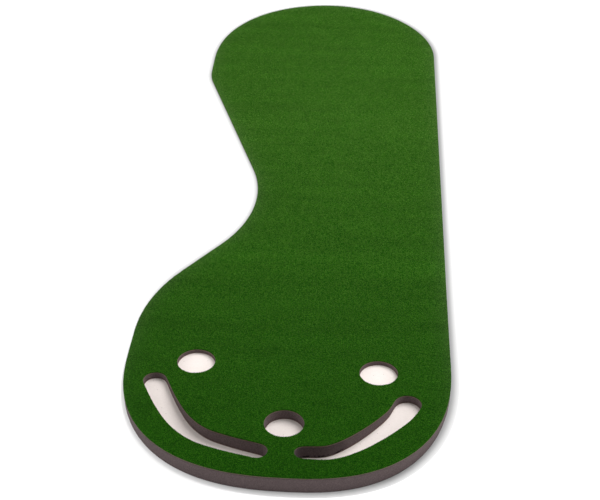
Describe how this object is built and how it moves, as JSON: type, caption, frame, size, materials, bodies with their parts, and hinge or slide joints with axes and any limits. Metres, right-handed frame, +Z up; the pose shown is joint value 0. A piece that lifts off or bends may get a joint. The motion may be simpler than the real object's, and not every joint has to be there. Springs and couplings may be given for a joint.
{
  "type": "practice putting mat",
  "caption": "Kidney-shaped practice putting mat: a flat strip of green turf that climbs a foam ramp, with round cups and curved sand traps cut down to a white base sheet.",
  "frame": {"origin": "on the floor, under the middle of the mat's bounding box", "axes": "+X across the mat, to the right when the cup end is nearest; +Y along the mat, away from the cups; +Z up"},
  "size_m": [0.9144, 2.7432, 0.0575],
  "materials": {
    "turf_pile": "needle-punched green polyester pile, matt",
    "turf_backing": "foamed tan latex, matt",
    "contact_glue": "dried contact adhesive",
    "foam": "grey-brown closed-cell foam, cut faces, matt",
    "base_liner": "white needle felt, matt"
  },
  "bodies": {
    "root": {"turf_pile": "turf_pile", "turf_backing": "turf_backing", "turf_glue_film": "contact_glue", "foam_ramp": "foam", "liner_glue_film": "contact_glue", "base_liner": "base_liner"}
  },
  "joints": []
}
